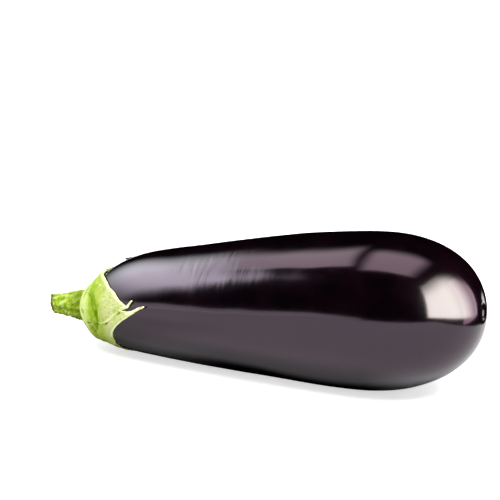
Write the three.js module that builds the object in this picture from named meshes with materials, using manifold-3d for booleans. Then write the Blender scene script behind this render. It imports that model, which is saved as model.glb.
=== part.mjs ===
// An eggplant lying on its side: the fruit, the calyx that caps its shoulder, and the stem it was cut by.
// Sizes are in millimetres and angles in degrees. +Z is up and +X runs from the stem to the blossom end.
import * as THREE from "three";
import { mergeVertices } from "three/addons/utils/BufferGeometryUtils.js";
import Module from "manifold-3d";

// The fruit. A station is a distance along its axis from the face that the stem grows on.
const taperLength = 153; // from that face to the widest place, the belly
const blossomLength = 56.4; // from the belly to the blossom end
const bellyRadius = 39;
const shoulderRadius = 21.1; // where the taper would start if the shoulder weren't rounded
const shoulderLength = 40;
const shoulderExponent = 3; // of the superellipse that rounds the shoulder
const taperExponent = 1.5; // above 1 the taper swells early and runs level into the belly
const blossomExponent = 2.2; // 2 is an ellipse, and more is blunter
const sidewaysBow = 1.5; // how far the middle of the axis stands to the -Y side of its ends
const stemDroop = 2.9; // how far the stem hangs below the straight line of the axis
const droopStart = 40; // the station where the axis starts to droop, coming from the belly
const droopEnd = -10; // the station where it has drooped in full
const restFlatDepth = 0.5; // how much of the belly the resting spot takes off

// The calyx. Along is a distance over the skin from the axis, and outward is a height above the skin.
const calyxClearance = 0.3; // between the calyx and what it wraps
const collarHeight = 7.2; // of the rim round the stem
const collarWall = 0.8;
const collarFoot = 17; // along, where the rim's flare ends
const collarFootThickness = 4;
const shoulderReach = 22; // along, where the cap thins and starts to divide into lobes
const shoulderThickness = 1.3;
const lobeEdgeThickness = 0.6;
const lobeExponent = 1.8; // 1 makes straight-sided lobes, and more makes round bays and sharp tips
// The tip of each lobe and the bay after it, as turns from the top towards -Y, and how far along they reach.
// The first lobe is two grown together, so it is twice as wide as the others.
const lobes = [
  { tip: 81, tipReach: 50, bay: 146, bayReach: 31 },
  { tip: 186, tipReach: 45, bay: 218, bayReach: 29 },
  { tip: 250, tipReach: 48, bay: 282, bayReach: 30 },
  { tip: 314, tipReach: 43, bay: 367, bayReach: 24.5 },
];

// The stem, which stands on the fruit and passes through the calyx's collar.
const stemLength = 25.5; // from the fruit's end face to the cut
const stemRootRadius = 6.8; // inside the collar
const stemRadius = 7.8; // just above the collar
const stemCutRadius = 5.7;
const stemCutRounding = 0.8;
const stemFlare = 1.2; // how far the root's shoulder is spread along the stem

// How finely the solids are faceted.
const fruitSegments = 64;
const calyxSegments = 120;
const stemSegments = 32;
const shoulderRings = 10;
const taperRings = 12;
const blossomRings = 13;
const lobeRings = 6;
const stemRings = 6;

const fruitLength = taperLength + blossomLength;
const wasm = await Module();
wasm.setup();

// The height of a unit superellipse over the place x.
function superellipse(x, exponent) {
  return (1 - x ** exponent) ** (1 / exponent);
}

function fruitRadius(station) {
  const toBelly = Math.max(1 - station / taperLength, 0);
  const cone = bellyRadius - (bellyRadius - shoulderRadius) * toBelly ** taperExponent;
  const intoShoulder = Math.max(1 - station / shoulderLength, 0);
  const intoBlossom = Math.max((station - taperLength) / blossomLength, 0);
  return cone * superellipse(intoShoulder, shoulderExponent) * superellipse(intoBlossom, blossomExponent);
}

// The stations of the rings, close together where the ends turn over.
function ringStations() {
  const stations = [];
  for (let i = 0; i < shoulderRings; i++) {
    const turned = (i / shoulderRings) * (Math.PI / 2);
    stations.push(shoulderLength * (1 - Math.cos(turned) ** (2 / shoulderExponent)));
  }
  for (let i = 0; i < taperRings; i++) {
    stations.push(THREE.MathUtils.lerp(shoulderLength, taperLength, i / taperRings));
  }
  for (let i = 0; i < blossomRings; i++) {
    const turned = (i / blossomRings) * (Math.PI / 2);
    stations.push(taperLength + blossomLength * Math.sin(turned) ** (2 / blossomExponent));
  }
  return [...stations, fruitLength];
}

// The fruit's outline from the stem face to the blossom end, as (radius, station).
function fruitOutline() {
  const outline = ringStations().map((station) => new THREE.Vector2(fruitRadius(station), station));
  outline[0].x = 0;
  outline[outline.length - 1].x = 0;
  return outline;
}

const skinLine = new THREE.SplineCurve(fruitOutline());
skinLine.arcLengthDivisions = 800;

// The (radius, station) of a point that lies along the skin from the axis and stands outward from it.
function overSkin(along, outward) {
  const share = along / skinLine.getLength();
  const tangent = skinLine.getTangentAt(share);
  const normal = new THREE.Vector2(tangent.y, -tangent.x);
  return skinLine.getPointAt(share).addScaledVector(normal, outward);
}

// The same for the calyx, which stands upright beside the stem and square to the skin past its collar.
function overShoulder(along, outward) {
  const upright = new THREE.Vector2(along, -outward);
  const intoSquare = THREE.MathUtils.smoothstep(along, stemRadius + collarWall, collarFoot);
  return upright.lerp(overSkin(along, outward), intoSquare);
}

// How far along the skin the calyx reaches at a turn round the axis.
function calyxReach(turn) {
  for (let i = 0; i < lobes.length; i++) {
    const here = lobes[i];
    const next = lobes[(i + 1) % lobes.length];
    const fromTip = THREE.MathUtils.euclideanModulo(turn - here.tip, 360);
    const bayAfter = here.bay - here.tip;
    const nextAfter = THREE.MathUtils.euclideanModulo(next.tip - here.tip, 360);
    if (fromTip > nextAfter) continue;
    const beforeBay = fromTip < bayAfter;
    const tipReach = beforeBay ? here.tipReach : next.tipReach;
    const halfWidth = beforeBay ? bayAfter : nextAfter - bayAfter;
    const fromBay = Math.abs(fromTip - bayAfter) / halfWidth;
    return here.bayReach + (tipReach - here.bayReach) * fromBay ** lobeExponent;
  }
  throw new Error("no lobe holds the turn " + turn);
}

// Runs a function over each vertex of a geometry as a Vector3, which the function changes.
function eachVertex(geometry, change) {
  const position = geometry.getAttribute("position");
  const vertex = new THREE.Vector3();
  for (let i = 0; i < position.count; i++) {
    vertex.fromBufferAttribute(position, i);
    change(vertex);
    position.setXYZ(i, vertex.x, vertex.y, vertex.z);
  }
  return geometry;
}

// Lays a shape that was turned about +Y along +X, and bends it with the fruit's axis.
function alongAxis(geometry) {
  const middle = fruitLength / 2;
  return eachVertex(geometry.rotateZ(-Math.PI / 2), (vertex) => {
    vertex.z -= stemDroop * (1 - THREE.MathUtils.smoothstep(vertex.x, droopEnd, droopStart));
    vertex.y -= sidewaysBow * (1 - ((vertex.x - middle) / middle) ** 2);
  });
}

function solidOf(geometry) {
  const bare = geometry.clone();
  bare.deleteAttribute("normal");
  bare.deleteAttribute("uv");
  const merged = mergeVertices(bare, 1e-3);
  const mesh = new wasm.Mesh({
    numProp: 3,
    vertProperties: merged.getAttribute("position").array,
    triVerts: new Uint32Array(merged.index.array),
  });
  return new wasm.Manifold(mesh);
}

function geometryOf(solid) {
  const mesh = solid.getMesh();
  const geometry = new THREE.BufferGeometry();
  geometry.setAttribute("position", new THREE.BufferAttribute(mesh.vertProperties, 3));
  geometry.setIndex(new THREE.BufferAttribute(mesh.triVerts, 1));
  geometry.computeVertexNormals();
  return geometry;
}

// The centre of the fruit's volume, as a station.
function balanceStation() {
  const slices = 400;
  let volume = 0;
  let moment = 0;
  for (let i = 0; i < slices; i++) {
    const station = ((i + 0.5) / slices) * fruitLength;
    const area = fruitRadius(station) ** 2;
    volume += area;
    moment += area * station;
  }
  return moment / volume;
}

// The slope of the fruit's side at a station.
function fruitSlope(station) {
  const step = 0.01;
  return (fruitRadius(station + step) - fruitRadius(station - step)) / (2 * step);
}

// Where the fruit touches the ground: the skin's normal there points at the centre of the volume.
function touchStation() {
  const balance = balanceStation();
  let low = shoulderLength;
  let high = taperLength;
  for (let i = 0; i < 60; i++) {
    const middle = (low + high) / 2;
    const normalMeetsAxisAt = middle + fruitRadius(middle) * fruitSlope(middle);
    if (normalMeetsAxisAt < balance) low = middle;
    else high = middle;
  }
  return (low + high) / 2;
}

// The pose that lays the fruit's frame on the ground, with the resting spot in the plane z = 0.
function lyingPose() {
  const touch = touchStation();
  const tilt = Math.atan(fruitSlope(touch));
  const height = fruitRadius(touch) * Math.cos(tilt) - touch * Math.sin(tilt) - restFlatDepth;
  const pose = new THREE.Group();
  pose.rotation.y = -tilt;
  pose.position.z = height;
  pose.updateMatrix();
  return pose;
}

function makeFruit(pose) {
  const body = alongAxis(new THREE.LatheGeometry(fruitOutline(), fruitSegments));
  const groundSize = 4 * fruitLength;
  const ground = new THREE.BoxGeometry(groundSize, groundSize, groundSize);
  ground.translate(0, 0, -groundSize / 2);
  ground.applyMatrix4(pose.matrix.clone().invert());
  return geometryOf(solidOf(body).subtract(solidOf(ground)));
}

// The calyx's section drawn flat, as (along, outward), with its lobes all at full reach.
function calyxSection(longestReach) {
  const socket = stemRootRadius + calyxClearance;
  const rimTop = calyxClearance + collarHeight;
  const outer = [
    new THREE.Vector2(stemRadius + calyxClearance, rimTop),
    new THREE.Vector2(stemRadius + calyxClearance + collarWall, rimTop - collarWall / 2),
    ...new THREE.QuadraticBezierCurve(
      new THREE.Vector2(stemRadius + calyxClearance + collarWall, rimTop * 0.8),
      new THREE.Vector2(stemRadius + calyxClearance + collarWall * 2, collarFootThickness),
      new THREE.Vector2(collarFoot, collarFootThickness),
    ).getPoints(4),
    new THREE.Vector2((collarFoot + shoulderReach) / 2, (collarFootThickness + shoulderThickness) / 2),
  ];
  const inner = [];
  for (let i = 0; i <= lobeRings; i++) {
    const along = THREE.MathUtils.lerp(shoulderReach, longestReach, i / lobeRings);
    const thickness = THREE.MathUtils.lerp(shoulderThickness, lobeEdgeThickness, i / lobeRings);
    outer.push(new THREE.Vector2(along, calyxClearance + thickness));
    inner.unshift(new THREE.Vector2(along, calyxClearance));
  }
  for (let i = 3; i >= 0; i--) {
    inner.push(new THREE.Vector2(THREE.MathUtils.lerp(socket, shoulderReach, i / 4), calyxClearance));
  }
  const rimInside = new THREE.Vector2(socket, rimTop - collarWall - stemFlare);
  return [...outer, ...inner, rimInside, outer[0].clone()];
}

// A washer with that section, wrapped over the fruit's shoulder and drawn in between the lobes.
function makeCalyx() {
  const longestReach = Math.max(...lobes.map((lobe) => lobe.tipReach));
  const washer = new THREE.LatheGeometry(calyxSection(longestReach), calyxSegments);
  const wrapped = eachVertex(washer, (vertex) => {
    const flatAlong = Math.hypot(vertex.x, vertex.z);
    const turn = Math.atan2(vertex.x, vertex.z);
    const reach = calyxReach(THREE.MathUtils.radToDeg(turn));
    const drawnIn = (reach - shoulderReach) / (longestReach - shoulderReach);
    const beyond = Math.max(flatAlong - shoulderReach, 0);
    const place = overShoulder(flatAlong - beyond + beyond * drawnIn, vertex.y);
    vertex.set(place.x * Math.sin(turn), place.y, place.x * Math.cos(turn));
  });
  return alongAxis(wrapped);
}

// The stem's outline from the fruit's face to the cut, as (radius, station), with stations going negative.
function stemOutline() {
  const rimTop = calyxClearance + collarHeight;
  const outline = [
    new THREE.Vector2(0, -calyxClearance),
    new THREE.Vector2(stemRootRadius, -calyxClearance),
    new THREE.Vector2(stemRootRadius, -(rimTop - collarWall - stemFlare)),
    new THREE.Vector2(stemRadius, -rimTop),
  ];
  const visible = stemLength - rimTop - stemCutRounding;
  for (let i = 1; i <= stemRings; i++) {
    const share = i / stemRings;
    outline.push(new THREE.Vector2(
      THREE.MathUtils.lerp(stemRadius, stemCutRadius, share ** 0.8),
      -(rimTop + visible * share),
    ));
  }
  outline.push(new THREE.Vector2(stemCutRadius - stemCutRounding, -stemLength));
  outline.push(new THREE.Vector2(0, -stemLength));
  return outline;
}

function makeStem() {
  return alongAxis(new THREE.LatheGeometry(stemOutline().reverse(), stemSegments));
}

function named(name, geometry, material) {
  const mesh = new THREE.Mesh(geometry, new THREE.MeshStandardMaterial(material));
  mesh.name = name;
  return mesh;
}

const lying = lyingPose();
lying.add(
  named("fruit", makeFruit(lying), { color: 0x1c0f1d, roughness: 0.12, metalness: 0 }),
  named("calyx", makeCalyx(), { color: 0xa9bd4a, roughness: 0.6, metalness: 0 }),
  named("stem", makeStem(), { color: 0x8aa536, roughness: 0.65, metalness: 0 }),
);

const eggplant = new THREE.Group();
eggplant.add(lying);

// The origin is under the middle of the whole eggplant, on the ground.
eggplant.updateMatrixWorld(true);
const middle = new THREE.Box3().setFromObject(eggplant, true).getCenter(new THREE.Vector3());
lying.position.x -= middle.x;
lying.position.y -= middle.y;

export default eggplant;
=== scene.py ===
import math

import bpy
import numpy as np
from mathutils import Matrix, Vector


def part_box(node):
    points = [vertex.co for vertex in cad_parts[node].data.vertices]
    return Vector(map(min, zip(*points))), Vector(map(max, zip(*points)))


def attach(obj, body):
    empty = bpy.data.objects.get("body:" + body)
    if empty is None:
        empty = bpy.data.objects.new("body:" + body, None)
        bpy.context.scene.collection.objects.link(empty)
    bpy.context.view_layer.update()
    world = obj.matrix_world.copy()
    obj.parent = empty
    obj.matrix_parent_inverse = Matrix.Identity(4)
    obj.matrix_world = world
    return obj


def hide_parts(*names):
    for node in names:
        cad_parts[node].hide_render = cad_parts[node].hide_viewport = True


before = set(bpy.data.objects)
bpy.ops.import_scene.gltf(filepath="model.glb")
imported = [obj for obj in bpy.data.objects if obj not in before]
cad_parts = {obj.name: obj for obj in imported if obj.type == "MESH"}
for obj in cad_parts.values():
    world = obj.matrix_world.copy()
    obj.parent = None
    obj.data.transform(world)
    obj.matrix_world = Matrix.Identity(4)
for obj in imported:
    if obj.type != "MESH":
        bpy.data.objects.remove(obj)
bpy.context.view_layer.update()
print("frame loaded:", sorted(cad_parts))

# An eggplant on a pale floor. Lengths are in millimetres until a mesh is made. A place on the plant is a
# station along the fruit's axis from the face that the stem grows on, and a turn round that axis, from the
# top towards -Y, in degrees. Along is a distance over the skin from the axis, and outward a height above it.
mm = 0.001

fruit = {
    "taperLength": 153,  # from the stem face to the belly
    "blossomLength": 56.4,  # from the belly to the blossom end
    "bellyRadius": 39,
    "shoulderRadius": 21.1,
    "shoulderLength": 40,
    "shoulderExponent": 3,
    "taperExponent": 1.5,
    "blossomExponent": 2.2,
    "sidewaysBow": 1.5,
    "stemDroop": 2.9,
    "droopStart": 40,
    "droopEnd": -10,
    "restFlatDepth": 0.5,
    "rings": 300,
    "segments": 280,
}
fruitLength = fruit["taperLength"] + fruit["blossomLength"]


# Shape functions that the pieces share.

def smoothStep(x, low, high):
    # Three t squares minus two t cubes, where t runs from 0 at low to 1 at high.
    t = np.clip((x - low) / (high - low), 0, 1)
    return t * t * (3 - 2 * t)


def bell(x, centre, width):
    # e to the minus square of the distance from the centre in widths.
    return np.exp(-(((x - centre) / width) ** 2))


def turnFrom(turn, centre):
    # The shortest way round from the centre to a turn, from -180 to 180.
    return (turn - centre + 180) % 360 - 180


def curveThrough(x, knots, values):
    # Cubic Hermite pieces. The slope at a knot is the harmonic mean of the slopes on its two sides, or
    # none where they differ in sign, so the curve never overshoots its knots.
    knots, values = np.asarray(knots, float), np.asarray(values, float)
    step = np.diff(knots)
    slope = np.diff(values) / step
    product = slope[:-1] * slope[1:]
    total = slope[:-1] + slope[1:]
    inner = np.where(product > 0, 2 * product / np.where(product > 0, total, 1), 0)
    tangent = np.concatenate([slope[:1], inner, slope[-1:]])
    i = np.clip(np.searchsorted(knots, x) - 1, 0, len(step) - 1)
    t = np.clip((x - knots[i]) / step[i], 0, 1)
    return (
        values[i] * (1 + 2 * t) * (1 - t) ** 2
        + values[i + 1] * t * t * (3 - 2 * t)
        + step[i] * t * (1 - t) * (tangent[i] * (1 - t) - tangent[i + 1] * t)
    )


def curveAround(turn, knots, values):
    # The same curve closed on itself after 360 degrees.
    knots, values = np.asarray(knots, float), np.asarray(values, float)
    turns = np.concatenate([knots - 360, knots, knots + 360])
    return curveThrough(turn % 360, turns, np.tile(values, 3))


def softNoise(points, size, seed, waves=18):
    # The sum of plane waves about as long as size, in random directions. It stays near -1 to 1.
    draw = np.random.default_rng(seed)
    direction = draw.normal(size=(waves, 3))
    direction /= np.linalg.norm(direction, axis=1, keepdims=True)
    count = 2 * np.pi / size * draw.uniform(0.7, 1.4, (waves, 1))
    phase = draw.uniform(0, 2 * np.pi, waves)
    return np.sin(points @ (direction * count).T + phase).sum(axis=-1) / np.sqrt(waves)


def layeredNoise(points, layers, seed):
    # The sum of a height times a noise of its own size for each layer, with one seed after the other.
    return sum(height * softNoise(points, size, seed + i) for i, (height, size) in enumerate(layers))


def around(station, turn, radius):
    # A point at a radius from the straight axis, as (station, side, height).
    angle = np.radians(turn)
    return np.stack(np.broadcast_arrays(station, -radius * np.sin(angle), radius * np.cos(angle)), axis=-1)


# The fruit's profile, and how it lies.

def superellipse(x, exponent):
    # The n-th root of one minus x to the n, which rounds a corner off.
    return (1 - x**exponent) ** (1 / exponent)


def fruitRadius(station):
    # A cone that swells towards the belly, times a rounding at the shoulder and one at the blossom end.
    toBelly = np.maximum(1 - station / fruit["taperLength"], 0)
    swell = fruit["bellyRadius"] - fruit["shoulderRadius"]
    cone = fruit["bellyRadius"] - swell * toBelly ** fruit["taperExponent"]
    intoShoulder = np.clip(1 - station / fruit["shoulderLength"], 0, 1)
    intoBlossom = np.clip((station - fruit["taperLength"]) / fruit["blossomLength"], 0, 1)
    shoulder = superellipse(intoShoulder, fruit["shoulderExponent"])
    return cone * shoulder * superellipse(intoBlossom, fruit["blossomExponent"])


def skinLine():
    # Stations close together where the ends turn over, with their radii and distances along the skin.
    quarter = np.linspace(0, np.pi / 2, 2000)
    shoulder = fruit["shoulderLength"] * (1 - np.cos(quarter) ** (2 / fruit["shoulderExponent"]))
    blossom = fruit["blossomLength"] * np.sin(quarter) ** (2 / fruit["blossomExponent"])
    taper = np.linspace(fruit["shoulderLength"], fruit["taperLength"], 2000)
    station = np.concatenate([shoulder, taper[1:], fruit["taperLength"] + blossom[1:]])
    radius = fruitRadius(station)
    radius[[0, -1]] = 0
    along = np.concatenate([[0], np.cumsum(np.hypot(np.diff(station), np.diff(radius)))])
    return station, radius, along


skinStation, skinRadius, skinAlong = skinLine()
skinLength = skinAlong[-1]


def overSkin(along, outward):
    # The skin's point at that distance, moved along its normal, which is the tangent turned a quarter.
    reach = 0.25
    ahead, behind = np.clip(along + reach, 0, skinLength), np.clip(along - reach, 0, skinLength)
    tangentStation = np.interp(ahead, skinAlong, skinStation) - np.interp(behind, skinAlong, skinStation)
    tangentRadius = np.interp(ahead, skinAlong, skinRadius) - np.interp(behind, skinAlong, skinRadius)
    length = np.hypot(tangentStation, tangentRadius)
    station = np.interp(along, skinAlong, skinStation) - outward * tangentRadius / length
    radius = np.interp(along, skinAlong, skinRadius) + outward * tangentStation / length
    return station, radius


def lying():
    # The tilt and place that lay the fruit on the ground. It touches where the skin's normal points at the
    # centre of its volume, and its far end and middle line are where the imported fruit's are.
    station = np.linspace(fruit["shoulderLength"], fruit["taperLength"], 4000)
    slope = np.gradient(fruitRadius(station), station)
    area = skinRadius**2 * np.gradient(skinStation)
    balance = (area * skinStation).sum() / area.sum()
    touch = np.interp(balance, station + fruitRadius(station) * slope, station)
    tilt = np.arctan(np.interp(touch, station, slope))
    height = fruitRadius(touch) * np.cos(tilt) - touch * np.sin(tilt) - fruit["restFlatDepth"]
    return {"tilt": tilt, "place": np.array([0, 0, height])}


def intoPlace(points, pose):
    # Bends the axis by a parabola sideways and a smooth step down, tilts it about Y and moves it, in metres.
    station, side, lift = np.moveaxis(points, -1, 0)
    middle = fruitLength / 2
    side = side - fruit["sidewaysBow"] * (1 - ((station - middle) / middle) ** 2)
    lift = lift - fruit["stemDroop"] * (1 - smoothStep(station, fruit["droopEnd"], fruit["droopStart"]))
    cosine, sine = np.cos(pose["tilt"]), np.sin(pose["tilt"])
    turned = np.stack([station * cosine - lift * sine, side, station * sine + lift * cosine], axis=-1)
    return (turned + pose["place"]) * mm


def placeOnFrame(pose):
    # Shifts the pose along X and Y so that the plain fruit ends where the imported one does.
    turns = np.linspace(0, 360, 181)
    plain = intoPlace(around(skinStation[::10, None], turns, skinRadius[::10, None]), pose).reshape(-1, 3)
    low, high = (np.array(corner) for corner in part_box("fruit"))
    pose["place"][0] += (high[0] - plain[:, 0].max()) / mm
    pose["place"][1] += ((low + high)[1] - plain[:, 1].max() - plain[:, 1].min()) / 2 / mm
    return pose


pose = placeOnFrame(lying())
print("lying at a tilt of", round(math.degrees(pose["tilt"]), 2), "degrees")


def onPlant(along, turn, outward):
    # The point that far along the skin and that high above it, where the plant lies, in metres.
    station, radius = overSkin(along, outward)
    return intoPlace(around(station, turn, radius), pose)


# Meshes.

def gridFaces(rows, columns, closeRows=False):
    # Quads between neighbouring rows and columns. The columns, and the rows if asked, close on themselves.
    row = np.arange(rows if closeRows else rows - 1)[:, None]
    column = np.arange(columns)[None, :]
    nextRow, nextColumn = (row + 1) % rows, (column + 1) % columns
    corners = [row * columns + column, row * columns + nextColumn,
               nextRow * columns + nextColumn, nextRow * columns + column]
    return np.stack(corners, axis=-1).reshape(-1, 4)


def capFaces(ring, centre, flipped):
    # Triangles from a ring of vertices to one at its centre.
    fan = np.stack([ring, np.roll(ring, -1), np.full(len(ring), centre)], axis=-1)
    return fan[:, ::-1] if flipped else fan


def makePiece(name, points, faces, marks=None):
    # A smooth-shaded mesh with its place in its vertices, and a number on each vertex for each mark.
    mesh = bpy.data.meshes.new(name)
    mesh.from_pydata(points.reshape(-1, 3).tolist(), [], faces)
    for mark, values in (marks or {}).items():
        attribute = mesh.attributes.new(mark, "FLOAT", "POINT")
        attribute.data.foreach_set("value", np.asarray(values, np.float32).ravel())
    mesh.polygons.foreach_set("use_smooth", np.ones(len(mesh.polygons), bool))
    mesh.update()
    piece = bpy.data.objects.new(name, mesh)
    bpy.context.scene.collection.objects.link(piece)
    return piece


def closedTube(points, marks):
    # Rings along a path, with each end drawn to a point at its ring's centre.
    rows, columns = points.shape[:2]
    vertices = np.concatenate([points.reshape(-1, 3), points[0].mean(0)[None], points[-1].mean(0)[None]])
    first, last = np.arange(columns), np.arange(columns) + (rows - 1) * columns
    faces = gridFaces(rows, columns).tolist()
    faces += capFaces(first, rows * columns, True).tolist()
    faces += capFaces(last, rows * columns + 1, False).tolist()
    marked = {}
    for name, mark in marks.items():
        marked[name] = np.concatenate([mark.ravel(), [mark[0].mean()], [mark[-1].mean()]])
    return vertices, faces, marked


# The fruit.

relief = {
    "lumpSize": 70,
    "lumpHeight": 0.22,
    "dentSize": 24,
    "dentHeight": 0.05,
    "calyxClear": (30, 60),  # lumps and dents grow from none to full between these stations
    "hollowDepth": 1.4,  # a shallow hollow low on the side: its depth, its middle and its half widths
    "hollowStation": 88,
    "hollowLength": 34,
    "hollowTurn": 143,
    "hollowWidth": 24,
    "rippleStation": 82,  # a patch of fine ripples: its middle, its half length, and the same in turns
    "rippleLength": 26,
    "rippleTurn": 40,
    "rippleWidth": 36,
    "rippleBreaks": 22,  # the size of the gaps in it
    "scarRadius": 3.4,
    "scarDepth": 0.7,
    "nubRadius": 1.1,
    "nubHeight": 0.5,
}


def fruitRelief(along, turn, points):
    # The height of broad lumps and smaller dents, both noise, and of the scar and the hollow, both bells.
    station = points[..., 0]
    clearOfCalyx = smoothStep(station, *relief["calyxClear"])
    lumps = relief["lumpHeight"] * softNoise(points, relief["lumpSize"], 1)
    dents = relief["dentHeight"] * softNoise(points, relief["dentSize"], 2)
    fromEnd = skinLength - along
    nub = relief["nubHeight"] * bell(fromEnd, 0, relief["nubRadius"])
    scar = relief["scarDepth"] * bell(fromEnd, 0, relief["scarRadius"])
    hollow = relief["hollowDepth"] * bell(station, relief["hollowStation"], relief["hollowLength"])
    hollow = hollow * bell(turn, relief["hollowTurn"], relief["hollowWidth"])
    return clearOfCalyx * (lumps + dents) + nub - scar - hollow


def ripplePatch(points, turn):
    # How strong the fine ripples are: a bell over the stations times a bell over the turns, broken by noise.
    patch = bell(points[..., 0], relief["rippleStation"], relief["rippleLength"])
    patch = patch * bell(turnFrom(turn, relief["rippleTurn"]), 0, relief["rippleWidth"])
    return patch * np.clip(0.75 + 0.5 * softNoise(points, relief["rippleBreaks"], 4), 0.1, 1.4)


def makeFruit():
    # Rings at even steps along the skin, each point moved out along the skin's normal by the relief.
    along = (skinLength * np.linspace(0, 1, fruit["rings"]))[1:-1, None]
    turn = np.linspace(0, 360, fruit["segments"], endpoint=False)[None, :]
    station, radius = overSkin(along, 0 * turn)
    plain = around(station, turn, radius)
    points = onPlant(along, turn, fruitRelief(along, turn, plain))
    points[..., 2] = np.maximum(points[..., 2], 0)  # the skin is pressed flat where it rests
    marks = {"fromEnd": skinLength - along + 0 * turn, "ripple": ripplePatch(plain, turn)}
    points, faces, marks = closedTube(points, marks)
    return makePiece("eggplant_fruit", points, faces, marks)


fruitPiece = makeFruit()
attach(fruitPiece, "root")
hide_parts("fruit")
print("fruit made:", len(fruitPiece.data.polygons), "faces")


# The calyx.

calyx = {
    "clearance": 0.15,  # under the lobes, above the skin
    "rimRadius": 8.1,
    "rimEnd": 8.9,  # the rim's outer edge, where it starts to flare
    "rimRoot": 7.1,  # where the inner face ends beside the stem, and how high it turns up there
    "rootHeight": 5.2,
    "squareFrom": 17,  # along, past which the calyx stands square to the skin
    "columns": 720,
    "outerRows": 60,
    "edgeRows": 5,
    "innerRows": 12,
    "leastThickness": 0.3,
    "topFlattening": 0.55,
    "edgeLift": 0.55,
    "tears": [(0.22, 3.2), (0.3, 9)],  # the height and the size of each noise, here and in the next one
    "wrinkles": [(0.12, 6), (0.06, 2.4)],
    "ribHeight": 0.17,
    "ribSize": 3.6,
    # The edge, as (turn, along). The front lobe is two grown together, with a notch between their tips.
    "edge": [(4, 22.4), (15, 22.4), (31, 25.2), (42, 28.6), (51.5, 32.4), (61, 36.3), (70, 40.5), (77, 44.6),
             (79.8, 46.9), (81.6, 44.9), (83.2, 42.2), (84.2, 46), (85.8, 50.2), (88, 48.6), (91, 46),
             (96, 41.8), (102, 38), (106, 35.9), (112, 33.7), (119, 32.6), (130, 32.2), (142, 32),
             (158, 32.4), (174, 38), (185, 44.6), (188, 44), (196, 38), (206, 33), (218, 30), (230, 31),
             (242, 40), (249, 47), (252, 47.2), (260, 39), (272, 32), (284, 30), (297, 31.5), (308, 38.6),
             (313, 42.8), (317, 42), (325, 33), (335, 25.5), (348, 22.8)],
    "thickness": [(8.1, 6.4), (8.9, 6.0), (9.6, 5.1), (11, 4.4), (13.5, 3.9), (17, 3.3), (19.5, 2.3),
                  (23, 1.35), (28, 0.85), (60, 0.75)],
}
calyxFolds = [
    # An arched fold at the foot of each lobe: its middle, how far along it peaks, its half width and depth.
    {"turn": 88, "along": 24.6, "arch": 30, "halfWidth": 46, "depth": 0.9},
    {"turn": 178, "along": 23.2, "arch": 20, "halfWidth": 26, "depth": 0.6},
    {"turn": 248, "along": 23.8, "arch": 24, "halfWidth": 24, "depth": 0.7},
    {"turn": 314, "along": 21.8, "arch": 20, "halfWidth": 28, "depth": 0.6},
]
calyxCrease = {"along": [14, 21, 27, 31, 35, 39, 43], "turn": [104.5, 104.8, 103.6, 100.4, 95.4, 89.2, 83.4]}


def calyxEdge(turn):
    # The curve through the edge's points plus fine and coarse noise, as on a torn leaf.
    knots, reaches = zip(*calyx["edge"])
    circle = around(0 * turn, turn, 26.0)
    torn = layeredNoise(circle, calyx["tears"], 11)
    return curveAround(turn, knots, reaches) + torn


def overShoulder(along, outward):
    # Upright beside the stem, square to the skin past the collar, and a blend of the two between.
    station, radius = overSkin(along, outward)
    square = smoothStep(along, calyx["rimEnd"], calyx["squareFrom"])
    return station * square - outward * (1 - square), radius * square + along * (1 - square)


def foldMarks(along, turn):
    # How deep a point lies in the folds and in the front lobe's crease, and how high on the crease's lip,
    # from 0 to 1. Each is a bell across a line that wavers, times a window along it.
    folds = np.zeros(np.broadcast(along, turn).shape)
    circle = around(0 * along, turn, 20.0)
    waver = 0.45 * softNoise(circle, 4, 27) + 0.35 * softNoise(circle, 11, 28)
    breaks = np.clip(0.85 + 0.45 * softNoise(around(along, turn, 9.0), 3.4, 29), 0.2, 1.4)
    for fold in calyxFolds:
        offset = turnFrom(turn, fold["turn"])
        peak = fold["along"] - fold["arch"] * (1 - np.cos(np.radians(offset))) + waver
        window = 1 - smoothStep(np.abs(offset), 0.55 * fold["halfWidth"], fold["halfWidth"])
        line = 0.55 * bell(along, peak, 0.8) + 0.25 * bell(along, peak - 2.6, 0.9)
        folds = folds + fold["depth"] * window * breaks * (line + 0.35 * bell(along, peak - 1.2, 3.2))
    crease = curveThrough(np.clip(along, 14, 43), calyxCrease["along"], calyxCrease["turn"])
    acrossCrease = turnFrom(turn, crease) * np.radians(1) * 24
    window = smoothStep(along, 13, 17) * (1 - smoothStep(along, 41, 44))
    gaps = bell(along, 17.5, 1.5) + 0.8 * bell(along, 24.3, 1.2) + bell(along, 31.3, 1.5) + bell(along, 42, 2)
    # The pit, with its gaps and a spot near the top, is where the crease is painted near-black as shade.
    pit = window * (0.25 + 0.75 * np.clip(gaps, 0, 1)) * bell(acrossCrease, 0.2, 0.55)
    pit = pit + 0.7 * bell(along, 21, 1.6) * bell(turnFrom(turn, 3), 0, 6)
    return folds, pit, window * smoothStep(along, 24, 29) * bell(acrossCrease, -1.0, 0.7)


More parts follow.
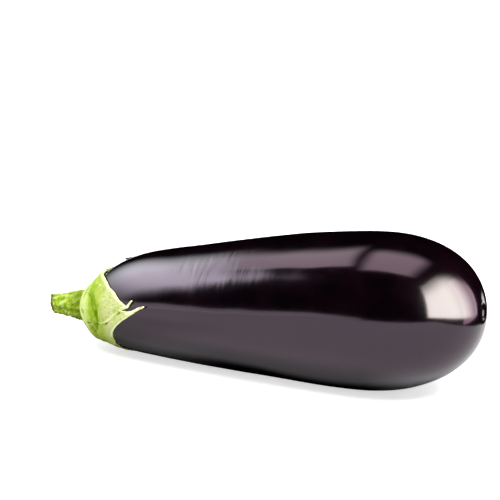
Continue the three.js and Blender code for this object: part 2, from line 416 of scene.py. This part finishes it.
def leafHeights(along, turn, toEdge, creases):
    # The outer and inner faces' heights. The outer one is the thickness curve plus noise and ribs, less the
    # folds and the crease, and both lift off the skin towards the free stretches of the edge.
    folds, crease, lip = creases
    knots, heights = zip(*calyx["thickness"])
    thick = curveThrough(along, knots, heights) * (0.5 + 0.5 * smoothStep(toEdge, -0.5, 2.5))
    top = bell(turnFrom(turn, 2), 0, 40) * bell(along, 15, 5.5)
    thick = thick * (1 - calyx["topFlattening"] * top)
    station, radius = overSkin(along, 0 * along)
    place = around(station, turn, radius)
    wrinkle = layeredNoise(place, calyx["wrinkles"], 21)
    ribs = calyx["ribHeight"] * softNoise(around(along, turn, 7.0), calyx["ribSize"], 23) * bell(along, 18, 9)
    thin = smoothStep(along, 17, 24)
    shape = wrinkle * (1 - 0.5 * thin) + ribs - folds * (1 - 0.4 * thin) - 0.4 * crease + 0.3 * lip
    leafy = smoothStep(along, 9.5, 14)
    freeEdge = 0.2 + 1.3 * bell(turnFrom(turn, 30), 0, 16) + 0.7 * bell(turnFrom(turn, 285), 0, 25)
    lift = calyx["edgeLift"] * freeEdge * smoothStep(toEdge, 6, 0)
    outer = calyx["clearance"] + np.maximum(thick + leafy * shape, calyx["leastThickness"]) + lift
    # The third value marks the hollows of the wrinkles and ribs, for painted shade.
    return outer, calyx["clearance"] + lift, -5 * (wrinkle + ribs)


def makeCalyx():
    # A closed ring of profiles: out over the leaf, round its edge, back under it and up beside the stem.
    turn = np.linspace(0, 360, calyx["columns"], endpoint=False)[None, :]
    reach = calyxEdge(turn)
    share = np.linspace(0, 1, calyx["outerRows"])[:, None]
    along = calyx["rimRadius"] + (reach - calyx["rimRadius"]) * share
    toEdge = reach - along
    creases = foldMarks(along, turn)
    outer, inner, hollow = leafHeights(along, turn, toEdge, creases)

    # The edge is a half round from the outer face to the inner one.
    bend = np.linspace(0, np.pi, calyx["edgeRows"] + 2)[1:-1, None]
    edgeOut, edgeIn = outer[-1:], inner[-1:]
    edgeAlong = reach + 0.5 * (edgeOut - edgeIn) * np.sin(bend)
    edgeHeight = (edgeOut + edgeIn) / 2 + (edgeOut - edgeIn) / 2 * np.cos(bend)

    # The inner face runs back under the lobes to the stem, and ends in the rim's inner corner.
    back = np.linspace(1, 0, calyx["innerRows"])[:, None]
    innerAlong = calyx["rimRoot"] + (reach - calyx["rimRoot"]) * back
    innerHeight = calyx["clearance"] + (edgeIn - calyx["clearance"]) * back**8
    allAlong = np.concatenate([along, edgeAlong, innerAlong, innerAlong[-1:]])
    allHeight = np.concatenate([outer, edgeHeight, innerHeight, 0 * reach + calyx["rootHeight"]])
    station, radius = overShoulder(allAlong, allHeight)
    points = intoPlace(around(station, turn, radius), pose)

    def onTop(mark, edge=0):
        # The mark on the outer face, one value round the edge, and none under the leaf.
        return np.concatenate([mark, 0 * edgeAlong + edge, 0 * innerAlong, 0 * reach])

    fromFront = np.abs(turnFrom(turn, 30))
    paleWidth = 1.5 + 0.5 * bell(turnFrom(turn, 45), 0, 35)
    marks = {
        "pale": onTop(bell(toEdge, 0, paleWidth), edge=1) * (1 - 0.75 * smoothStep(fromFront, 80, 100)),
        # Painted shade goes by the fold and crease marks: deep green in the folds, near-black in the crease.
        "fold": onTop(creases[0]),
        "crease": onTop(creases[1]),
        "lip": onTop(creases[2]),
        "under": smoothStep(fromFront, 86, 116) + 0 * allAlong,  # greener and darker underneath, partly their own tone and partly painted shade
        # Painted shade: darker in the hollows of the wrinkles and ribs.
        "hollow": onTop(hollow),
        "along": allAlong,
        "dry": 0 * allAlong,
    }
    return points, marks


tipShape = {
    "rows": 26,
    "columns": 14,
    "flatness": 0.62,  # its thickness as a share of its width
    "knobSize": 1.7,
    "knobHeight": 0.12,
}
tips = [
    # The thin dried ends of the lobes, as (turn, along, outward) points, and their widths at the two ends.
    {"path": [(80.0, 43.5, 0.6), (79.4, 46.4, 0.7), (77.4, 47.6, 0.9), (75.0, 49.0, 1.2), (72.4, 50.6, 1.7)],
     "width": (1.5, 1.0), "dry": 0.6},
    {"path": [(87.0, 45.5, 0.6), (85.2, 49.4, 0.7), (82.8, 52.0, 0.8), (80.4, 54.8, 1.1), (78.2, 58.4, 1.6)],
     "width": (2.1, 1.1), "dry": 0.6},
    {"path": [(186, 42.0, 0.8), (186.5, 45.5, 0.9), (188.5, 48.5, 1.2)], "width": (1.8, 0.6), "dry": 0.9},
    {"path": [(250.5, 45.0, 0.8), (250, 48.2, 0.9), (247.5, 51.0, 1.6), (244, 52.5, 2.6)],
     "width": (1.9, 0.6), "dry": 0.8},
    {"path": [(314, 40.5, 0.6), (322, 39.0, 0.6), (334, 36.0, 0.45), (346, 33.2, 0.4), (355, 31.8, 0.8)],
     "width": (2.0, 1.5), "dry": 1.0},
]


def makeTip(tip):
    # A flattened round section carried along the path and narrowed towards its end.
    steps = np.linspace(0, 1, tipShape["rows"])
    knots = np.linspace(0, 1, len(tip["path"]))
    turn, along, outward = (curveThrough(steps, knots, values) for values in zip(*tip["path"]))
    centre = onPlant(along, turn, outward) / mm
    above = onPlant(along, turn, outward + 1) / mm
    forward = np.gradient(centre, axis=0)
    forward /= np.linalg.norm(forward, axis=1, keepdims=True)
    up = above - centre
    up -= (up * forward).sum(1, keepdims=True) * forward
    up /= np.linalg.norm(up, axis=1, keepdims=True)
    across = np.cross(forward, up)
    wide, narrow = tip["width"]
    width = (wide + (narrow - wide) * steps) * np.sqrt(np.clip(1 - steps**14, 0.02, 1))
    angle = np.linspace(0, 2 * np.pi, tipShape["columns"], endpoint=False)[None, :, None]
    half = width[:, None, None] / 2
    centre, across, up = centre[:, None], across[:, None], up[:, None]
    ring = centre + half * (np.cos(angle) * across + tipShape["flatness"] * np.sin(angle) * up)
    knobs = 1 + tipShape["knobHeight"] * softNoise(ring, tipShape["knobSize"], 31)[..., None]
    ring = centre + (ring - centre) * knobs
    flat = np.ones(ring.shape[:2])
    marks = dict.fromkeys(("fold", "crease", "lip", "under", "hollow"), 0 * flat)
    marks["pale"] = flat
    marks["along"] = along[:, None] * flat
    marks["dry"] = tip["dry"] * smoothStep(steps, 0.1, 0.8)[:, None] * flat
    return closedTube(ring * mm, marks)


def joinPieces(parts):
    # One list of vertices, faces and marks from several.
    points, faces, marks = [], [], {}
    for vertices, quads, marked in parts:
        start = sum(len(p) for p in points)
        faces += [[start + i for i in face] for face in quads]
        points.append(vertices)
        for name, values in marked.items():
            marks.setdefault(name, []).append(values.ravel())
    return np.concatenate(points), faces, {name: np.concatenate(values) for name, values in marks.items()}


def makeWholeCalyx():
    # The leaf and its dried tips as one mesh.
    points, marks = makeCalyx()
    rows, columns = points.shape[:2]
    shell = (points.reshape(-1, 3), gridFaces(rows, columns, True).tolist(), marks)
    return makePiece("eggplant_calyx", *joinPieces([shell] + [makeTip(tip) for tip in tips]))


calyxPiece = makeWholeCalyx()
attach(calyxPiece, "root")
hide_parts("calyx")
print("calyx made:", len(calyxPiece.data.polygons), "faces")


# The stem.

stem = {
    # Station and radius, from the root to the cut's rim.
    "profile": [(0.5, 6.6), (-4.5, 6.9), (-7.2, 8.0), (-9.5, 7.9), (-13, 7.2), (-18, 6.1), (-22, 5.4),
                (-26.6, 4.9), (-27.5, 4.8), (-27.8, 4.5)],
    "rows": 120,
    "columns": 160,
    "ribs": 9,
    "ribHeight": 0.28,
    "cutHollow": 0.7,
    "cutLean": (0.3, 0.12),  # how much longer the stem is towards +Y and +Z, growing over these stations
    "leanStart": 20,
    "leanEnd": 27,
    "bumps": [(0.24, 4.5), (0.16, 1.9)],  # the height and the size of each noise
    "cutFrom": (27.1, 27.6),  # the paler cut and its brown rim grow from none to full over these stations
    "rimFrom": (25.6, 26.8),
    # the painted shade next to the calyx grows from none to full over these stations
    "rootFrom": (-16, -9),
}


def makeStem():
    # The profile turned round the axis, with a sine of the turn and two noises added to its radius.
    turn = np.linspace(0, 360, stem["columns"], endpoint=False)[None, :]
    stations, radii = zip(*stem["profile"])
    station = np.linspace(stations[0], stations[-1], stem["rows"])[:, None] + 0 * turn
    radius = curveThrough(-station, [-s for s in stations], radii)
    plain = around(station, turn, radius)
    ribs = np.sin(np.radians(turn) * stem["ribs"] + 1.5 * softNoise(plain, 16, 41) - station * 0.05)
    bumps = layeredNoise(plain, stem["bumps"], 42)
    radius = radius + smoothStep(-station, 2, 7) * (stem["ribHeight"] * ribs + bumps)
    side = around(station, turn, radius)

    # The cut is a shallow rough bowl that leans a little.
    inward = np.linspace(0.93, 0.02, 22)[:, None]
    bowl = stem["cutHollow"] * (1 - inward**2) + 0.12 * softNoise(around(0 * turn, turn, 5 * inward), 1.6, 44)
    cut = around(stations[-1] + bowl, turn, radius[-1:] * inward)
    points = np.concatenate([side, cut])
    leanY, leanZ = stem["cutLean"]
    lean = leanZ * points[..., 2] + leanY * points[..., 1]
    points[..., 0] -= lean * smoothStep(-points[..., 0], stem["leanStart"], stem["leanEnd"])

    onCut = 0 * cut[..., 0]
    marks = {
        "cut": np.concatenate([smoothStep(-station, *stem["cutFrom"]), onCut + 1]),
        "fromAxis": np.hypot(points[..., 1], points[..., 2]),
        # root: where painted shade darkens the stem next to the calyx
        "root": smoothStep(points[..., 0], *stem["rootFrom"]),
        "rim": np.concatenate([smoothStep(-station, *stem["rimFrom"]), onCut]),
        # hollow: low in the ribs and bumps, for painted shade in the grooves and painted highlights on the
        # ridges
        "hollow": np.concatenate([-3 * (0.6 * stem["ribHeight"] * ribs + bumps), onCut]),
    }
    marks = {name: mark[::-1] for name, mark in marks.items()}
    return makePiece("eggplant_stem", *closedTube(intoPlace(points[::-1], pose), marks))


stemPiece = makeStem()
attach(stemPiece, "root")
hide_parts("stem")
print("stem made:", len(stemPiece.data.polygons), "faces")


# Materials.

class Wire:
    # A socket in a node tree. Arithmetic on it adds Math nodes, so 1 - wire and wire * 2 work.
    def __init__(self, wiring, socket):
        self.wiring = wiring
        self.socket = socket

    def math(self, operation, *values):
        return self.wiring.add("ShaderNodeMath", {"operation": operation}, dict(enumerate(values)))

    def __add__(self, other):
        return self.math("ADD", self, other)

    def __radd__(self, other):
        return self.math("ADD", other, self)

    def __sub__(self, other):
        return self.math("SUBTRACT", self, other)

    def __rsub__(self, other):
        return self.math("SUBTRACT", other, self)

    def __mul__(self, other):
        return self.math("MULTIPLY", self, other)

    def __rmul__(self, other):
        return self.math("MULTIPLY", other, self)

    def __abs__(self):
        return self.math("ABSOLUTE", self)

    def between(self, low, high, first=0.0, last=1.0):
        # The first value at low and the last at high, smoothly, and held there outside them.
        values = {"Value": self, "From Min": low, "From Max": high, "To Min": first, "To Max": last}
        return self.wiring.add("ShaderNodeMapRange", {"interpolation_type": "SMOOTHSTEP"}, values)


class Wiring:
    # The node tree of a material, a light or the world.
    def __init__(self, owner):
        owner.use_nodes = True
        self.tree = owner.node_tree

    def add(self, kind, settings=None, values=None, output=0):
        # Any node: its settings are set first, then the values or wires of its sockets.
        node = self.tree.nodes.new(kind)
        for setting, value in (settings or {}).items():
            setattr(node, setting, value)
        for key, value in (values or {}).items():
            self.fill(node.inputs[key], value)
        return Wire(self, node.outputs[output])

    def fill(self, socket, value):
        # A wire is linked to the socket, and anything else is its value.
        if isinstance(value, Wire):
            self.tree.links.new(value.socket, socket)
        else:
            socket.default_value = value

    def feed(self, shader, **values):
        # The sockets of a shader that the tree already has, with _ for the spaces in their names.
        for words, value in values.items():
            self.fill(self.tree.nodes[shader].inputs[words.replace("_", " ")], value)


class Finish(Wiring):
    # A material with one Principled shader.
    def __init__(self, name):
        self.material = bpy.data.materials.new(name)
        super().__init__(self.material)

    def shade(self, **values):
        # The shader's sockets.
        self.feed("Principled BSDF", **values)

    def mark(self, name):
        # A number that the mesh carries on its vertices.
        return self.add("ShaderNodeAttribute", {"attribute_name": name}, output="Fac")

    def place(self):
        # Where a point is on the plant, in metres.
        return self.add("ShaderNodeTexCoord", output="Object")

    def axis(self, name):
        # X, Y or Z of the place, in metres.
        return self.add("ShaderNodeSeparateXYZ", None, {"Vector": self.place()}, output=name)

    def noise(self, size, detail=3, roughness=0.55, stretch=None):
        # Noise with features about as long as size, in millimetres, from 0 to 1.
        where = self.place()
        if stretch:
            where = self.add("ShaderNodeMapping", None, {"Vector": where, "Scale": stretch})
        values = {"Vector": where, "Scale": 1 / (size * mm), "Detail": detail, "Roughness": roughness}
        return self.add("ShaderNodeTexNoise", None, values)

    def mix(self, share, first, second):
        # The first colour moved towards the second by a share. A colour is a wire, or red, green and blue.
        first, second = (each if isinstance(each, Wire) else (*each, 1) for each in (first, second))
        settings = {"data_type": "RGBA", "clamp_factor": True}
        return self.add("ShaderNodeMix", settings, {0: share, 6: first, 7: second}, output=2)

    def bump(self, height, distance):
        # The normal of a surface raised by the height times the distance, in millimetres.
        return self.add("ShaderNodeBump", None, {"Height": height, "Distance": distance * mm})

    def wear(self, piece):
        # Makes it the piece's only material.
        piece.data.materials.clear()
        piece.data.materials.append(self.material)


skinTones = {
    "dark": (0.0005, 0.0001, 0.0005),
    "light": (0.0016, 0.0003, 0.0010),
    "corkDark": (0.02, 0.013, 0.009),
    "corkLight": (0.06, 0.042, 0.028),
}


def skinFinish():
    # Near-black purple under a gloss, with faint mottles, fine pores, ripples and a corky blossom scar.
    skin = Finish("eggplant skin")
    tone = skin.mix(skin.noise(18, detail=4).between(0.35, 0.7), skinTones["dark"], skinTones["light"])
    scar = 1 - skin.mark("fromEnd").between(0.9, 1.9)
    tone = skin.mix(scar, tone, skin.mix(skin.noise(0.9), skinTones["corkDark"], skinTones["corkLight"]))
    roughness = 0.09 + 0.06 * skin.noise(9, detail=3) + 0.05 * skin.mark("ripple") + 0.45 * scar
    ripples = skin.mark("ripple") * skin.noise(1, detail=1, stretch=(0.36, 0.07, 0.07))
    pores = 0.25 * skin.noise(0.8, detail=2) + 0.5 * skin.noise(5, detail=2)
    height = pores + 11 * ripples + 3 * scar * skin.noise(0.7)
    skin.shade(Specular_IOR_Level=0.55, Specular_Tint=(1, 0.77, 0.95, 1))
    skin.shade(Base_Color=tone, Roughness=roughness, Normal=skin.bump(height, 0.012))
    return skin


calyxTones = {
    "leaf": (0.235, 0.30, 0.040),
    "lobeEnd": (0.34, 0.35, 0.165),
    "patch": (0.24, 0.325, 0.036),
    "collar": (0.42, 0.475, 0.18),
    # the undersides' deeper green, partly painted shade
    "under": (0.19, 0.26, 0.002),
    "vein": (0.44, 0.48, 0.21),
    # painted shade in the hollows
    "hollow": (0.15, 0.24, 0.003),
    "mottle": (0.15, 0.23, 0.010),
    # painted shade in the folds, in patches nearly black
    "fold": (0.115, 0.19, 0.0),
    "foldShadePatch": (0.05, 0.095, 0.0),
    "lip": (0.52, 0.54, 0.26),
    "edge": (0.53, 0.51, 0.31),
    # painted shade, near-black, in the crease
    "crease": (0.014, 0.017, 0.002),
    "speck": (0.16, 0.12, 0.03),
    "dry": (0.42, 0.37, 0.29),
    "charred": (0.010, 0.006, 0.004),
}


def calyxFinish():
    # Yellow-green leaf, pale at the collar and cream at the edges, with painted shade deep green in the folds
    # and hollows and near-black in the front lobe's crease, and greener undersides that are partly painted
    # shade.
    # Each line lays one tone over the ones before it, by a share from a mark or a noise.
    leaf = Finish("eggplant calyx")
    fine, broad = leaf.noise(1.2, detail=4), leaf.noise(6, detail=3)
    along = leaf.mark("along")
    collar = 1 - along.between(15.5, 19)
    # Painted shade, partly the lobes' own greener tone: their undersides darken towards a deeper green.
    shadedGreenerBelow = leaf.mark("under") * (0.1 + 0.7 * broad.between(0.35, 0.6)) * (1 - 0.4 * along.between(27, 31))
    veins = leaf.noise(1.8, detail=3, stretch=(0.25, 1, 1))
    fold = leaf.mark("fold").between(0.05, 0.6)
    specks = leaf.noise(1.6, detail=5, roughness=0.7).between(0.66, 0.74)
    dry = leaf.mark("dry")
    tone = leaf.mix(along.between(24, 33), calyxTones["leaf"], calyxTones["lobeEnd"])
    tone = leaf.mix(0.5 * broad.between(0.45, 0.7), tone, calyxTones["patch"])
    tone = leaf.mix(0.85 * collar, tone, calyxTones["collar"])
    tone = leaf.mix(shadedGreenerBelow, tone, calyxTones["under"])
    tone = leaf.mix(0.5 * veins.between(0.52, 0.7), tone, calyxTones["vein"])
    # Painted shade in the hollows of the wrinkles and ribs.
    tone = leaf.mix(0.75 * leaf.mark("hollow").between(0.1, 1.3), tone, calyxTones["hollow"])
    tone = leaf.mix(0.65 * fine.between(0.54, 0.70), tone, calyxTones["mottle"])
    # Painted shade: the folds darken to a deep green, in patches nearly black.
    tone = leaf.mix(0.95 * fold, tone, calyxTones["fold"])
    tone = leaf.mix(0.8 * fold * leaf.noise(2.6, detail=3).between(0.5, 0.68), tone, calyxTones["foldShadePatch"])
    tone = leaf.mix(0.6 * leaf.mark("lip"), tone, calyxTones["lip"])
    tone = leaf.mix(0.9 * leaf.mark("pale").between(0.35, 0.8), tone, calyxTones["edge"])
    # Painted shade: the front lobe's crease, its gaps and a spot near the top are near-black.
    tone = leaf.mix(leaf.mark("crease").between(0.3, 0.9), tone, calyxTones["crease"])
    tone = leaf.mix(0.6 * specks, tone, calyxTones["speck"])
    tone = leaf.mix(0.8 * dry, tone, calyxTones["dry"])
    tone = leaf.mix(dry.between(0.7, 1.0), tone, calyxTones["charred"])
    height = fine + 0.8 * veins + 0.5 * leaf.noise(0.45, detail=2)
    leaf.shade(Subsurface_Weight=0.12, Subsurface_Scale=0.004)
    leaf.shade(Specular_IOR_Level=0.1, Specular_Tint=(0.8, 1, 0.3, 1))
    leaf.shade(Base_Color=tone, Roughness=0.5 + 0.2 * fine, Normal=leaf.bump(height, 0.25))
    return leaf


stemTones = {
    "bark": (0.23, 0.30, 0.028),
    "patch": (0.125, 0.195, 0.004),
    "fibre": (0.33, 0.39, 0.10),
    "grain": (0.09, 0.14, 0.004),
    # painted shade in the grooves
    "hollow": (0.10, 0.165, 0.002),
    # painted highlight on the ridges
    "ridgeHighlight": (0.38, 0.45, 0.14),
    # painted shade next to the calyx
    "root": (0.10, 0.16, 0.003),
    "rim": (0.05, 0.036, 0.012),
    "fleshDark": (0.34, 0.33, 0.17),
    "fleshLight": (0.46, 0.44, 0.26),
    "core": (0.52, 0.50, 0.36),
    "cutEdge": (0.11, 0.08, 0.03),
}


def stemFinish():
    # Green bark with long fibres and dark grains, painted shade in its grooves and next to the calyx, painted
    # highlights on its ridges, and a pale cut with a browned rim.
    bark = Finish("eggplant stem")
    fibre = bark.noise(1.6, detail=4, stretch=(0.3, 1, 1))
    grain = bark.noise(1.1, detail=3)
    broad = bark.noise(5, detail=3)
    hollow = bark.mark("hollow")
    tone = bark.mix(broad.between(0.38, 0.66), stemTones["bark"], stemTones["patch"])
    tone = bark.mix(0.75 * fibre.between(0.5, 0.68), tone, stemTones["fibre"])
    tone = bark.mix(0.8 * grain.between(0.55, 0.72), tone, stemTones["grain"])
    # Painted shade in the grooves and painted highlights on the ridges.
    tone = bark.mix(0.65 * hollow.between(-0.1, 0.9), tone, stemTones["hollow"])
    tone = bark.mix(0.6 * (0 - hollow).between(0.2, 1.0), tone, stemTones["ridgeHighlight"])
    # Painted shade next to the calyx.
    tone = bark.mix(0.55 * bark.mark("root"), tone, stemTones["root"])
    tone = bark.mix(0.85 * bark.mark("rim"), tone, stemTones["rim"])
    fromAxis = bark.mark("fromAxis")
    flesh = bark.mix(grain, stemTones["fleshDark"], stemTones["fleshLight"])
    flesh = bark.mix(1 - fromAxis.between(1.2, 2.4), flesh, stemTones["core"])
    flesh = bark.mix(fromAxis.between(3.2, 4.4), flesh, stemTones["cutEdge"])
    tone = bark.mix(bark.mark("cut"), tone, flesh)
    bark.shade(Subsurface_Weight=0.08, Subsurface_Scale=0.003)
    bark.shade(Specular_IOR_Level=0.1, Specular_Tint=(0.8, 1, 0.3, 1))
    bark.shade(Base_Color=tone, Roughness=0.55 + 0.15 * grain, Normal=bark.bump(fibre + 0.8 * grain, 0.45))
    return bark


skinFinish().wear(fruitPiece)
calyxFinish().wear(calyxPiece)
stemFinish().wear(stemPiece)
print("materials done")


# Floor, light and camera, in metres.

studio = {
    "floorSize": 14,
    "floorTone": 0.8,
    "shadeTone": 0.01,
    "floorGlow": 0.66,  # what the camera alone sees on top, so that the shadow stays pale
    "whiteBackground": 1.0,
    "backEdge": (0.654, 0.757),  # the way to the floor's back edge along X and Y, and how far off it is
    "backEdgeFrom": 0.196,
    "backEdgeTo": 0.206,
}


def makeFloor():
    # Reflections and bounced light see it with a painted shadow close under the plant, and not at all past
    # its back edge. The painted shadow is one minus two steps away from the X axis, and fades towards both
    # ends of the plant.
    half = studio["floorSize"] / 2
    corners = np.array([[-half, -half, 0], [half, -half, 0], [half, half, 0], [-half, half, 0]])
    floor = makePiece("floor", corners, [[0, 1, 2, 3]])
    finish = Finish("floor")
    seen = finish.add("ShaderNodeLightPath", output="Is Camera Ray")
    x, y = finish.axis("X"), finish.axis("Y")
    aside = abs(y)
    near = 1 - 0.45 * aside.between(0.014, 0.024) - 0.55 * aside.between(0.024, 0.05)
    near = near * (1 - x.between(0.06, 0.095)) * (0.5 + 0.5 * x.between(-0.06, -0.01))
    shadowUnderPlant = near + 0.28 * (1 - x.between(-0.09, -0.02)) * (1 - aside.between(0.05, 0.12))
    wayX, wayY = studio["backEdge"]
    beyond = (wayX * x + wayY * y).between(studio["backEdgeFrom"], studio["backEdgeTo"])
    glow = finish.mix(studio["floorGlow"] * seen, (0, 0, 0), (1, 1, 1))
    # Painted shadow: rays other than the camera's see the floor dark close under the plant.
    tone = finish.mix((1 - seen) * shadowUnderPlant, [studio["floorTone"]] * 3, [studio["shadeTone"]] * 3)
    finish.shade(Roughness=0.9, Specular_IOR_Level=0.0, Emission_Strength=1.0)
    finish.shade(Base_Color=tone, Emission_Color=glow, Alpha=1 - (1 - seen) * beyond)
    finish.wear(floor)
    return floor


def makeWorld():
    # White behind everything for the camera, and a dark room for light and reflections.
    world = bpy.data.worlds.new("room")
    wiring = Wiring(world)
    seen = wiring.add("ShaderNodeLightPath", output="Is Camera Ray")
    wiring.feed("Background", Color=(1, 1, 1, 1), Strength=studio["whiteBackground"] * seen)
    bpy.context.scene.world = world


panels = [
    # Softboxes: the middle, the point they face, their width and height, their radiance and their tint. The
    # ones on the plant aren't on the floor, which has its own, so that it stays pale right up to the plant.
    # A fade adds its two weights times how far across and how far up the panel a point is, from 0 to 1,
    # and takes the light from full at its third number to a share, its last number, at its fourth.
    {"name": "window", "on": "plant", "middle": (1.0, -0.035, 0.75), "facing": (0, -0.035, 0.75),
     "size": (1.79, 1.7), "radiance": 23, "tint": (0.86, 1.0, 0.78),
     "fades": [(1, 0, 0.42, 0.9, 0.03), (0, 1, 0.5, 1.0, 0.22), (0.75, 1, 1.1, 1.5, 0.05),
               (0.2, 1, 0.185, 0.15, 0.0)]},
    {"name": "windowSide", "on": "plant", "middle": (1.02, 0.5, 0.42), "facing": (0, 0.5, 0.42),
     "size": (0.76, 1.14), "radiance": 3.8, "tint": (1, 0.72, 0.86), "fades": [(0.75, 1, 1.1, 1.5, 0.05)]},
    {"name": "sidePanel", "on": "plant", "middle": (-1.0, 0.16, 0.71), "facing": (0, 0.16, 0.71),
     "size": (1.88, 1.12), "radiance": 8.6, "tint": (0.90, 0.97, 1.0),
     "fades": [(1, 0, 0.55, 0.08, 0.0), (1, 0, 0.86, 1.0, 0.1), (0, 1, 0.62, 0.0, 0.16),
               (0, 1, 0.75, 1.0, 0.33)]},
    {"name": "sideLow", "on": "plant", "middle": (-0.9, -3.4, 0.06), "facing": (0, -3.4, 0.06),
     "size": (6, 0.18), "radiance": 1.9, "tint": (1, 1, 1)},
    {"name": "backLow", "on": "plant", "middle": (0.43, 1.0, -0.1), "facing": (0.43, 0, -0.1),
     "size": (0.16, 0.14), "radiance": 3, "tint": (1, 1, 1)},
    {"name": "ceilingStemEnd", "on": "plant", "middle": (-0.92, 0.32, 1.5), "facing": (-0.92, 0.32, 0),
     "size": (0.8, 1.25), "radiance": 3.5, "tint": (1, 0.9, 0.92),
     "fades": [(0, 1, 0.5, 0.95, 0.04), (1, 0, 0.35, 0.0, 0.3), (1, 0, 0.86, 1.0, 0.3)]},
    {"name": "ceilingBlossomEnd", "on": "plant", "middle": (0.09, 0.06, 1.5), "facing": (0.09, 0.06, 0),
     "size": (1.06, 1.12), "radiance": 3.6, "tint": (1, 0.87, 0.89),
     "fades": [(0, 1, 0.65, 1.0, 0.1), (1, 0, 0.16, 0.0, 0.25), (1, 0, 0.75, 1.0, 0.15)]},
    {"name": "frontFill", "on": "plant", "unseen": True, "middle": (-0.7, -1.0, 1.3), "facing": (0, 0, 0.04),
     "size": (1, 1), "radiance": 5.8, "tint": (1, 0.99, 0.95)},
    {"name": "lowFill", "on": "plant", "unseen": True, "middle": (-0.6, -0.9, 0.15),
     "facing": (-0.08, 0, 0.03), "size": (0.9, 0.4), "radiance": 5, "tint": (1, 1, 0.9)},
    {"name": "overhead", "on": "floor", "unseen": True, "middle": (0, 0, 4), "facing": (0, 0, 0),
     "size": (16, 16), "radiance": 0.9, "tint": (1, 1, 1)},
    {"name": "frontTop", "on": "floor", "unseen": True, "middle": (0.85, -1.0, 1.9), "facing": (0, 0, 0),
     "size": (2.4, 0.9), "radiance": 15, "tint": (1, 1, 1)},
]


def fadeAcross(light, fades):
    # Multiplies the panel's strength by each fade in turn.
    wiring = Wiring(light)
    place = wiring.add("ShaderNodeNewGeometry", output="Parametric")
    x, y = (wiring.add("ShaderNodeSeparateXYZ", None, {"Vector": place}, output=axis) for axis in "XY")
    strength = 1.0
    for across, up, full, end, share in fades:
        strength = (x * across + y * up).between(full, end, 1.0, share) * strength
    wiring.feed("Emission", Strength=strength)


def makeGroup(name, members):
    # A collection that lights can be linked to.
    group = bpy.data.collections.new(name)
    for member in members:
        group.objects.link(member)
    return group


def makePanel(panel, groups):
    # An area light, whose power is its radiance times pi times its area.
    width, height = panel["size"]
    light = bpy.data.lights.new(panel["name"], "AREA")
    light.shape = "RECTANGLE"
    light.size, light.size_y = width, height
    light.energy = panel["radiance"] * math.pi * width * height
    light.color = panel["tint"]
    if "fades" in panel:
        fadeAcross(light, panel["fades"])
    holder = bpy.data.objects.new(panel["name"], light)
    holder.location = panel["middle"]
    aim = Vector(panel["facing"]) - Vector(panel["middle"])
    holder.rotation_euler = aim.to_track_quat("-Z", "Y").to_euler()
    holder.visible_camera = False
    holder.visible_glossy = not panel.get("unseen", False)
    holder.light_linking.receiver_collection = groups[panel["on"]]
    bpy.context.scene.collection.objects.link(holder)


camera = {
    "yaw": 23.7,  # degrees round from looking along +Y, towards +X
    "pitch": 16.6,  # degrees down
    "distance": 0.9,
    "target": (0, 0, 0.038),
    "lens": 129.5,
    "offAim": (0.24, 1.55),  # degrees that the lens points left of the target and above it
}


def makeCamera():
    # It stands the distance back from the target along the yaw and pitch, and looks a little off the target.
    yaw, pitch = math.radians(camera["yaw"]), math.radians(camera["pitch"])
    back = Vector((math.sin(yaw) * math.cos(pitch), -math.cos(yaw) * math.cos(pitch), math.sin(pitch)))
    lens = bpy.data.cameras.new("camera")
    lens.lens = camera["lens"]
    lens.sensor_width = 36
    holder = bpy.data.objects.new("camera", lens)
    holder.location = Vector(camera["target"]) + back * camera["distance"]
    left, above = (math.radians(angle) for angle in camera["offAim"])
    holder.rotation_euler = (math.pi / 2 - pitch + above, 0, yaw + left)
    bpy.context.scene.collection.objects.link(holder)
    bpy.context.scene.camera = holder


floor = makeFloor()
makeWorld()
groups = {
    "plant": makeGroup("plant", [fruitPiece, calyxPiece, stemPiece]),
    "floor": makeGroup("ground", [floor]),
}
for panel in panels:
    makePanel(panel, groups)
makeCamera()
bpy.context.scene.view_settings.view_transform = "Standard"
print("stage done")
